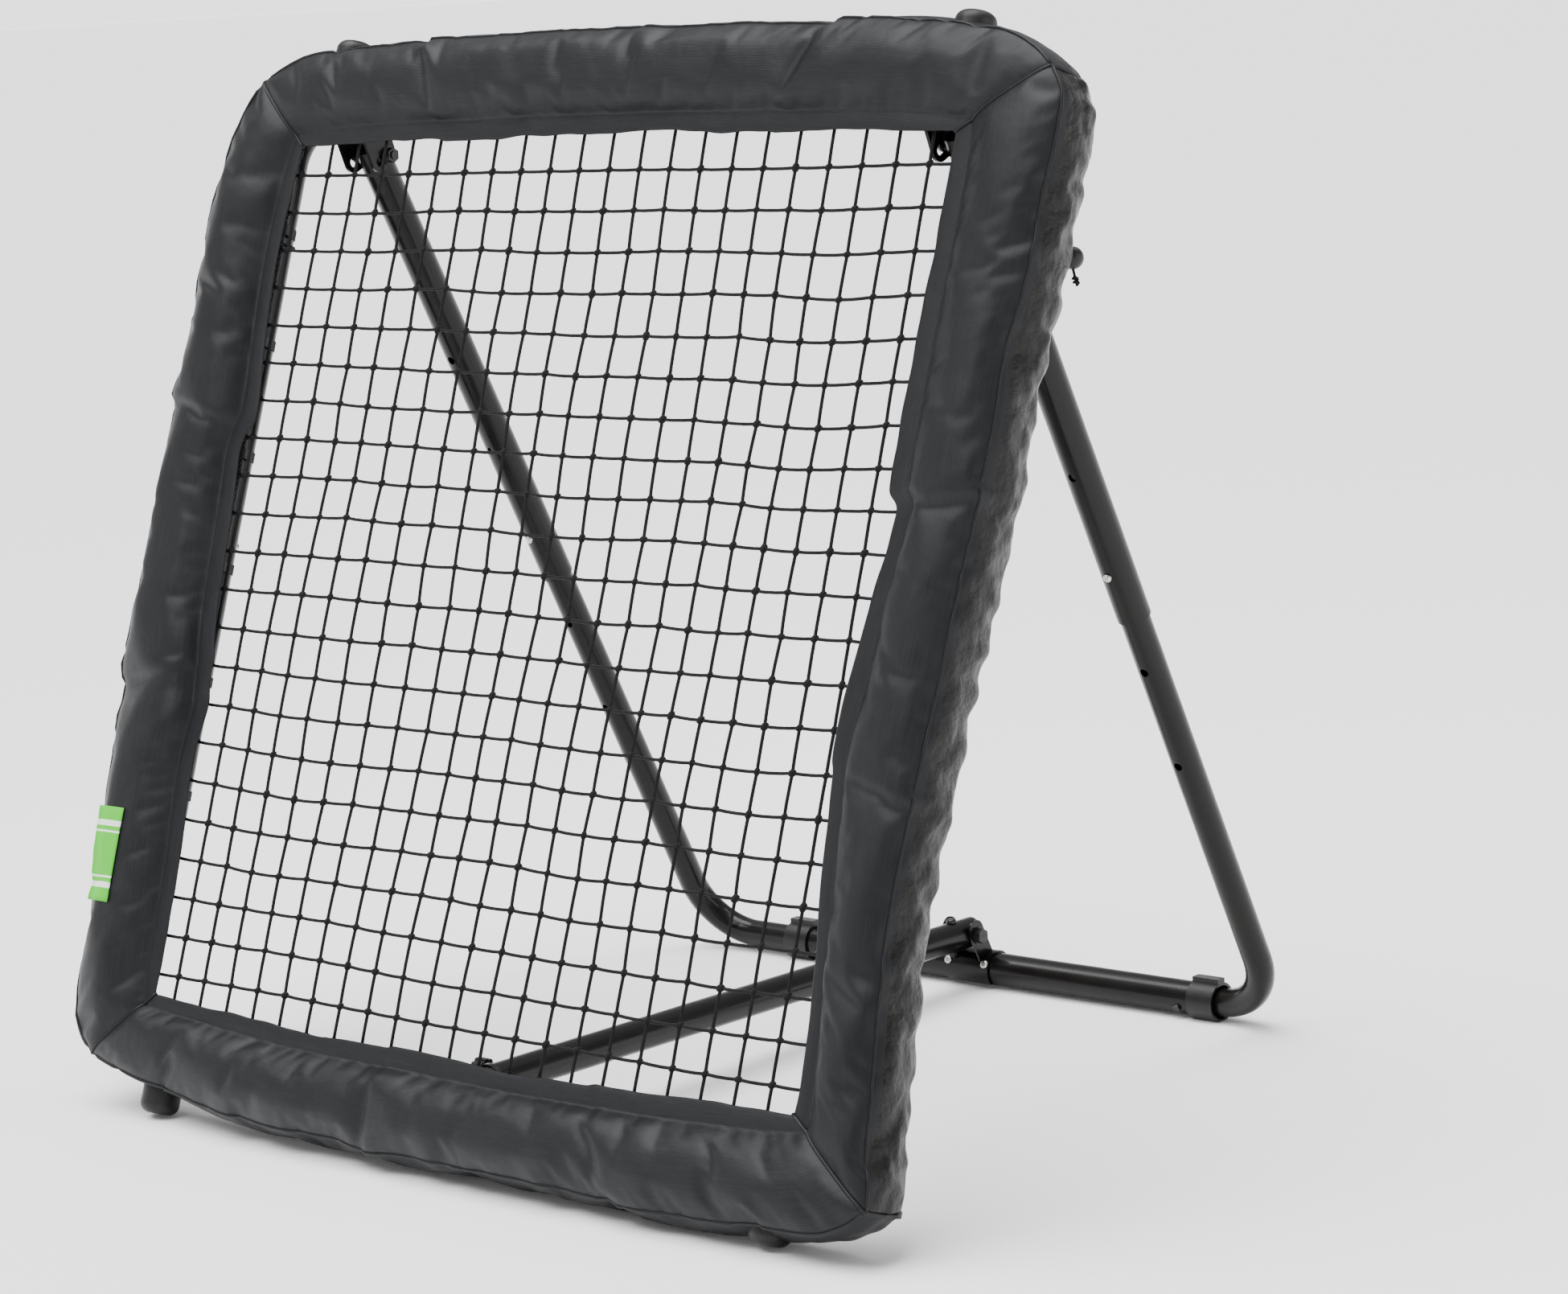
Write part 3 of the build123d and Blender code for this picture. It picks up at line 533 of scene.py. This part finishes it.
def cover_mesh(side, seed):
    inner, outer = mitre_edges(side)
    profile = resample(FRONT, 6) + resample(BACK, 13)
    round_it = [0.0]
    for a, b in zip(profile, profile[1:] + profile[:1]):
        round_it.append(round_it[-1] + sqrt((b[0] - a[0]) ** 2 + (b[1] - a[1]) ** 2) * MM)
    span = sum((b - a).length for a, b in zip(outer, outer[1:]))
    rings, along = [], []
    for i, (a, b) in enumerate(zip(inner, outer)):
        at = span * (i / (len(inner) - 1) - 0.5)
        way = (b - a).normalized()
        scale = (b - a).length / 110
        ring = []
        for s, n in profile:
            s, n = shape_of(side, at, span, s, n, seed)
            spot = a + way * (s * scale)
            ring.append(Vector((spot.x, spot.y, n)) * MM)
        rings.append(ring)
        along.append(at * MM)
    bm = bmesh.new()
    verts = skin(bm, rings, False, True, along, round_it)
    held = set()
    fronts = len(resample(FRONT, 6))
    for i, row in enumerate(verts):
        for k, vert in enumerate(row):
            s, n = profile[k]
            if k >= fronts - 2 or s < 22 or i in (0, len(verts) - 1):
                held.add(vert)
    crease = bm.edges.layers.float.new("crease_edge")
    mitres = set(verts[0]) | set(verts[-1])
    for edge in bm.edges:
        if edge.verts[0] in mitres and edge.verts[1] in mitres:
            edge[crease] = 1.0
    bmesh.ops.recalc_face_normals(bm, faces=bm.faces)
    bm.verts.index_update()
    return bm, [v.index for v in held], fronts


def swell(obj, held, frames=20):
    """Cloth simulation: the cover's front and skirt fill out and pucker, with the sewn edges held."""
    start = [v.co.copy() for v in obj.data.vertices]
    group = obj.vertex_groups.new(name="sewn")
    group.add(held, 1.0, "REPLACE")
    made = obj.modifiers.new("cloth", "CLOTH")
    made.settings.vertex_group_mass = "sewn"
    made.settings.quality = 6
    made.settings.mass = 0.25
    made.settings.tension_stiffness = 22
    made.settings.compression_stiffness = 22
    made.settings.shear_stiffness = 8
    made.settings.bending_stiffness = 1.2
    made.settings.shrink_min = -0.012
    made.settings.use_pressure = True
    made.settings.uniform_pressure_force = 4.0
    made.settings.effector_weights.gravity = 0
    made.collision_settings.use_collision = False
    made.point_cache.frame_end = frames
    for step in range(1, frames + 1):
        bpy.context.scene.frame_set(step)
    shaped = obj.evaluated_get(bpy.context.evaluated_depsgraph_get()).to_mesh()
    moved = [v.co.copy() for v in shaped.vertices]
    obj.modifiers.remove(made)
    obj.vertex_groups.clear()
    most = 0.0
    for vert, was, now in zip(obj.data.vertices, start, moved):
        shift = now - was
        if shift.length > 0.009:
            shift = shift.normalized() * 0.009
        vert.co = was + shift
        most = max(most, shift.length)
    bpy.context.scene.frame_set(1)
    print(f"{obj.name} swelled by up to {most * 1000:.1f} mm")


# %% Grow, swell and place the four covers
covers, seams, mitres = {}, [], []
for seed, side in enumerate(("top", "bottom", "left", "right")):
    bm, held, fronts = cover_mesh(side, 3.7 * seed + 1)
    piece = new_object(f"cover_{side}", bm)
    swell(piece, held)
    profile = resample(FRONT, 6)
    count, place = len(profile) + len(resample(BACK, 13)), profile.index(SEAM_EDGE)
    spots = [v.co.copy() for v in piece.data.vertices]
    seams.append(spots[place::count])
    if side in ("top", "bottom"):
        mitres += [spots[:fronts - 3], spots[-count:][:fronts - 3]]
    bpy.ops.object.select_all(action="DESELECT")
    bpy.context.view_layer.objects.active = piece
    piece.select_set(True)
    smooth = piece.modifiers.new("smooth", "SUBSURF")
    smooth.levels = smooth.render_levels = 1
    bpy.ops.object.modifier_apply(modifier="smooth")
    piece.data.transform(PANEL)
    for vert in piece.data.vertices:
        vert.co.z = max(vert.co.z, 0.001)
    settle(piece, "front_panel", cover, f"pad_{side}")
    # Second slot: the skirt cloth, partly darkened with painted shade. The faces of the left and right skirts
    # take it.
    piece.data.materials.append(shaded_skirt_cloth)
    if side in ("left", "right"):
        flat = PANEL.inverted()
        for face in piece.data.polygons:
            middle = flat @ face.center
            if abs(middle.x) > 0.580 and middle.z < 0.024:
                face.material_index = 1
    covers[side] = piece

# %% [markdown]
# ## Piping on the mitres
# A thin rolled seam covers each mitre and runs down the skirt. It follows the covers' own end rings, so it dips
# and crowns with them, and the same seam runs round the outside where the front meets the skirt. The tag needs
# a place too: rays are cast down on the finished covers, and it is laid on what they hit.

# %% Lay cord and cloth on the covers
def surface_under(points, lift):
    """Points of the panel's plane, in metres, put on the covers' front and lifted off it."""
    trees = []
    inverse = PANEL.inverted()
    for piece in covers.values():
        bm = bmesh.new()
        bm.from_mesh(piece.data)
        bm.transform(inverse)
        trees.append(BVHTree.FromBMesh(bm))
        bm.free()
    laid = []
    for x, y in points:
        best = None
        for tree in trees:
            hit = tree.ray_cast(Vector((x, y, 0.2)), Vector((0, 0, -1)))[0]
            if hit is not None and (best is None or hit.z > best):
                best = hit.z
        laid.append(Vector((x, y, (best if best is not None else laid[-1].z - lift if laid else 0.03) + lift)))
    return laid


bm = bmesh.new()
for line in mitres:
    tube(bm, line, 0.0021, 8)
settle(new_object("mitre_piping", bm, PANEL), "front_panel", piping_cloth)

bm = bmesh.new()
for seam in seams:
    tube(bm, seam, 0.0019, 7)
settle(new_object("edge_piping", bm, PANEL), "front_panel", piping_cloth)

# %% [markdown]
# ## The knotted net
# The net is tied from one braided cord, so its squares are never quite square. Every knot gets a place on a
# gently warped grid, the cords are drawn through the knots, and one low-polygon knot is copied to each.
# The outermost cords end in hitches round a thick twisted rope, which the straps tie to the frame.

# %% Knots on a warped grid, cords through them
CELL = 0.0465
NET_N = 0.020
ROPE_X, ROPE_Y = 0.527, 0.535
COLUMNS, ROWS = 23, 22
CORD_R = 0.0020


def net_spot(x, y):
    """Where a point of the perfect net really hangs, in the panel's axes."""
    calm = min(1, (ROPE_X - abs(x)) / 0.16) * min(1, (ROPE_Y - abs(y)) / 0.16)
    drift = noise.noise_vector(Vector((x * 4.2, y * 4.2, 3.1))) * 0.0085
    jitter = noise.noise_vector(Vector((x * 41, y * 41, 8.3))) * 0.0022
    away = (drift + jitter) * max(0, calm)
    sag = -0.011 * cos(x / ROPE_X * pi / 2) * cos(y / ROPE_Y * pi / 2)
    return Vector((x + away.x, y + away.y - 0.004 * max(0, calm), NET_N + sag + away.z * 0.4))


across = [(i - (COLUMNS - 1) / 2) * CELL for i in range(COLUMNS)]
up = [(j - (ROWS - 1) / 2) * CELL - 0.004 for j in range(ROWS)]


def through(stops):
    """A smooth path through stops, with a slight slack between them."""
    path = []
    for a, b in zip(stops, stops[1:]):
        for k in range(3):
            share = k / 3
            slack = 0.0009 * sin(pi * share)
            path.append(a.lerp(b, share) + Vector((0, -slack, slack * 0.5)))
    return path + [stops[-1]]


bm = bmesh.new()
for x in across:
    stops = [Vector((x, -ROPE_Y, NET_N))] + [net_spot(x, y) for y in up] + [Vector((x, ROPE_Y, NET_N))]
    tube(bm, through(stops), CORD_R, 5)
for y in up:
    stops = [Vector((-ROPE_X, y, NET_N))] + [net_spot(x, y) for x in across] + [Vector((ROPE_X, y, NET_N))]
    tube(bm, through(stops), CORD_R, 5)
settle(new_object("net_cords", bm, PANEL), "front_panel", braid, "net")

bm = bmesh.new()
for x in across:
    for y in up:
        turned = Matrix.Rotation(random.uniform(-0.7, 0.7), 4, "Z") @ Matrix.Rotation(0.78, 4, "Z")
        size = random.uniform(0.9, 1.12)
        form = Matrix.Diagonal((0.0055 * size, 0.0041 * size, 0.0037 * size, 1))
        spot = Matrix.Translation(net_spot(x, y))
        bmesh.ops.create_uvsphere(bm, u_segments=8, v_segments=5, radius=1, matrix=spot @ turned @ form)
settle(new_object("net_knots", bm, PANEL), "front_panel", braid)


# %% The twisted border rope and its hitches
def rounded_loop(half_w, half_h, corner, spacing):
    """Points round a rectangle with rounded corners, evenly spaced."""
    line = []
    for cx, cy, start in ((1, 1, 0), (-1, 1, 1), (-1, -1, 2), (1, -1, 3)):
        for k in range(13):
            a = pi / 2 * (start + k / 12)
            line.append(Vector((
                cx * (half_w - corner) + corner * cos(a), cy * (half_h - corner) + corner * sin(a), 0
            )))
    line.append(line[0].copy())
    lengths = [0.0]
    for a, b in zip(line, line[1:]):
        lengths.append(lengths[-1] + (b - a).length)
    count = round(lengths[-1] / spacing)
    out, k = [], 0
    for i in range(count):
        at = lengths[-1] * i / count
        while lengths[k + 1] < at:
            k += 1
        out.append(line[k].lerp(line[k + 1], (at - lengths[k]) / max(1e-9, lengths[k + 1] - lengths[k])))
    return out


loop = rounded_loop(ROPE_X, ROPE_Y, 0.040, 0.005)
turns = 190
bm = bmesh.new()
for strand in range(3):
    path = []
    for i, p in enumerate(loop):
        way = (loop[(i + 1) % len(loop)] - loop[i - 1]).normalized()
        side = Vector((-way.y, way.x, 0))
        a = 2 * pi * (turns * i / len(loop) + strand / 3)
        path.append(p + side * (0.0021 * cos(a)) + Vector((0, 0, NET_N + 0.0021 * sin(a))))
    tube(bm, path, 0.0021, 6, closed=True)
settle(new_object("twisted_border_rope", bm, PANEL), "front_panel", braid, "net_border_rope")

bm = bmesh.new()
ends = [(x, sign * ROPE_Y, "x") for x in across for sign in (-1, 1)]
ends += [(sign * ROPE_X, y, "y") for y in up for sign in (-1, 1)]
for x, y, along in ends:
    for shift in (-0.0014, 0.0014):
        ring = []
        for k in range(10):
            a = 2 * pi * k / 10
            out, rise_by = 0.0053 * cos(a), 0.0053 * sin(a)
            flat = Vector((shift, out, rise_by)) if along == "x" else Vector((out, shift, rise_by))
            ring.append(Vector((x, y, NET_N)) + flat)
        tube(bm, ring, 0.0013, 5, closed=True)
settle(new_object("net_hitches", bm, PANEL), "front_panel", braid)

# %% [markdown]
# ## The sewn tag and the toggles' tails
# A bright woven tag is stitched over the left cover's outer edge. It is laid on the cover like the piping,
# given the thickness of ribbon, and carries plain stripes. Below each ball toggle, the elastic ends in a knot.

# %% Tag laid over the cover's edge
TAG_X, TAG_Y, TAG_W, TAG_H = (-0.630, -0.577), -0.363, 0.053, 0.114
tag_cloth = bpy.data.materials.new("woven_green_tag")
tag_cloth.use_nodes = True
tree = tag_cloth.node_tree
shader = tree.nodes["Principled BSDF"]
coords = tree.nodes.new("ShaderNodeTexCoord")
split = tree.nodes.new("ShaderNodeSeparateXYZ")
tree.links.new(coords.outputs["UV"], split.inputs[0])
threads = tree.nodes.new("ShaderNodeGroup")
threads.node_tree = weave
threads.inputs["Thread"].default_value = 0.0009
threads.inputs["Rib"].default_value = 0.0009
bars = None
for at, half in ((0.020, 0.0035), (0.030, 0.0012), (0.094, 0.0035), (0.084, 0.0012)):
    off = math(tree, "ABSOLUTE", math(tree, "SUBTRACT", split.outputs["Y"], at))
    bar = math(tree, "LESS_THAN", off, half)
    bars = bar if bars is None else math(tree, "MAXIMUM", bars, bar)
greens = tree.nodes.new("ShaderNodeMix")
greens.data_type = "RGBA"
greens.inputs["A"].default_value = (0.035, 0.40, 0.0, 1)
greens.inputs["B"].default_value = (0.05, 0.50, 0.0, 1)
tree.links.new(threads.outputs["Fleck"], greens.inputs["Factor"])
striped = tree.nodes.new("ShaderNodeMix")
striped.data_type = "RGBA"
striped.inputs["B"].default_value = (0.72, 0.78, 0.70, 1)
tree.links.new(greens.outputs["Result"], striped.inputs["A"])
tree.links.new(bars, striped.inputs["Factor"])
tree.links.new(striped.outputs["Result"], shader.inputs["Base Color"])
relief = tree.nodes.new("ShaderNodeBump")
relief.inputs["Strength"].default_value = 0.4
relief.inputs["Distance"].default_value = 0.0003
tree.links.new(threads.outputs["Height"], relief.inputs["Height"])
tree.links.new(relief.outputs["Normal"], shader.inputs["Normal"])
tree.links.new(between(tree, threads.outputs["Fleck"], 0.55, 0.75), shader.inputs["Roughness"])

bm = bmesh.new()
uv_map = bm.loops.layers.uv.verify()
wide, tall = 10, 20
spots = [(TAG_X[0] + (TAG_X[1] - TAG_X[0]) * i / wide, TAG_Y - TAG_H / 2 + TAG_H * j / tall)
         for j in range(tall + 1) for i in range(wide + 1)]
laid = surface_under([(max(x, -0.622), y) for x, y in spots], 0.0010)
grid = [bm.verts.new((x, y, p.z)) for (x, y), p in zip(spots, laid)]
for j in range(tall):
    for i in range(wide):
        k = j * (wide + 1) + i
        face = bm.faces.new((grid[k], grid[k + 1], grid[k + wide + 2], grid[k + wide + 1]))
        for loop_, (a, b) in zip(face.loops, ((i, j), (i + 1, j), (i + 1, j + 1), (i, j + 1))):
            loop_[uv_map].uv = (a * TAG_W / wide, b * TAG_H / tall)
tag = new_object("green_tag", bm, PANEL)
bpy.context.view_layer.objects.active = tag
thick = tag.modifiers.new("ribbon", "SOLIDIFY")
thick.thickness = 0.0009
thick.offset = 1
bpy.ops.object.modifier_apply(modifier="ribbon")
settle(tag, "front_panel", tag_cloth, "pad_tag")

# %% Knotted tails under the ball toggles
bm = bmesh.new()
for sign in (-1, 1):
    ball = Vector((sign * (0.555 + 0.064), 0.401, -0.050))
    tail = [ball + Vector((sign * 0.003 * k / 6, -0.006 - 0.0035 * k, -0.002 * k)) for k in range(7)]
    tube(bm, tail, 0.0015, 7)
    for turn in range(2):
        knot = []
        for k in range(12):
            a = 2 * pi * k / 12
            knot.append(tail[4 + turn] + Vector((0.0026 * cos(a), 0.0006 * sin(2 * a), 0.0026 * sin(a))))
        tube(bm, knot, 0.0016, 6, closed=True)
settle(new_object("toggle_tails", bm, PANEL), "front_panel", braid)

# %% [markdown]
# ## Floor, light and camera
# A pale floor and large soft lights show the form: one high key from the front left puts a sheen along the
# top cover, a tall strip on the right draws long streaks on the tubes, and a wide sky light evens the floor.

# %% Floor and lights
bpy.ops.mesh.primitive_plane_add(size=3000, location=(0, 0, 0))
floor = bpy.context.object
floor.name = "studio_floor"
pale = bpy.data.materials.new("studio_floor")
pale.use_nodes = True
pale.node_tree.nodes["Principled BSDF"].inputs["Base Color"].default_value = (0.92, 0.92, 0.92, 1)
pale.node_tree.nodes["Principled BSDF"].inputs["Roughness"].default_value = 0.9
floor.data.materials.append(pale)

# A glowing band closes the far edge of the floor, where it would meet the darker sky.
bpy.ops.mesh.primitive_cylinder_add(vertices=96, radius=1400, depth=500, end_fill_type="NOTHING")
band = bpy.context.object
band.name = "studio_band"
glow = bpy.data.materials.new("studio_band")
glow.use_nodes = True
glow.node_tree.nodes["Principled BSDF"].inputs["Base Color"].default_value = (0, 0, 0, 1)
glow.node_tree.nodes["Principled BSDF"].inputs["Specular IOR Level"].default_value = 0
glow.node_tree.nodes["Principled BSDF"].inputs["Emission Color"].default_value = (1, 1, 1, 1)
glow.node_tree.nodes["Principled BSDF"].inputs["Emission Strength"].default_value = 2.3
band.data.materials.append(glow)

world = bpy.data.worlds.new("studio")
bpy.context.scene.world = world
world.use_nodes = True
world.node_tree.nodes["Background"].inputs["Color"].default_value = (1, 1, 1, 1)
world.node_tree.nodes["Background"].inputs["Strength"].default_value = 0.6


def soft_light(name, at, aim, size, power):
    lamp = bpy.data.lights.new(name, "AREA")
    lamp.shape = "RECTANGLE"
    lamp.size, lamp.size_y = size
    lamp.energy = power
    made = bpy.data.objects.new(name, lamp)
    made.location = at
    made.rotation_euler = (Vector(aim) - Vector(at)).to_track_quat("-Z", "Y").to_euler()
    bpy.context.scene.collection.objects.link(made)


soft_light("key", (-1.2, -3.6, 3.6), (0, 0, 0.6), (2.4, 1.2), 60)
soft_light("strip", (3.6, 0.6, 2.0), (0, 0, 0.6), (0.25, 2.6), 24)
soft_light("top", (0.4, 0.9, 3.8), (0, 0, 0.4), (0.8, 3.0), 40)
sky = bpy.data.lights.new("sky", "SUN")
sky.energy, sky.angle = 6.0, radians(55)
sky_light = bpy.data.objects.new("sky", sky)
sky_light.rotation_euler = (radians(14), radians(-12), 0)
bpy.context.scene.collection.objects.link(sky_light)

# %% Camera
YAW, PITCH, ROLL = 0.72296, 0.16584, -0.05873
ahead = Vector((-sin(YAW) * cos(PITCH), cos(YAW) * cos(PITCH), -sin(PITCH)))
level = Vector((cos(YAW), sin(YAW), 0))
over = level.cross(ahead)
right = level * cos(ROLL) + over * sin(ROLL)
above = over * cos(ROLL) - level * sin(ROLL)
lens = bpy.data.cameras.new("camera")
lens.sensor_width = 36
lens.lens = 91.51
lens.clip_end = 5000
camera = bpy.data.objects.new("camera", lens)
spot = Vector((3.1185, -2.9106 + FOOT_LINE, 1.2826))
camera.matrix_world = Matrix((
    (right.x, above.x, -ahead.x, spot.x),
    (right.y, above.y, -ahead.y, spot.y),
    (right.z, above.z, -ahead.z, spot.z),
    (0, 0, 0, 1),
))
bpy.context.scene.collection.objects.link(camera)
bpy.context.scene.camera = camera
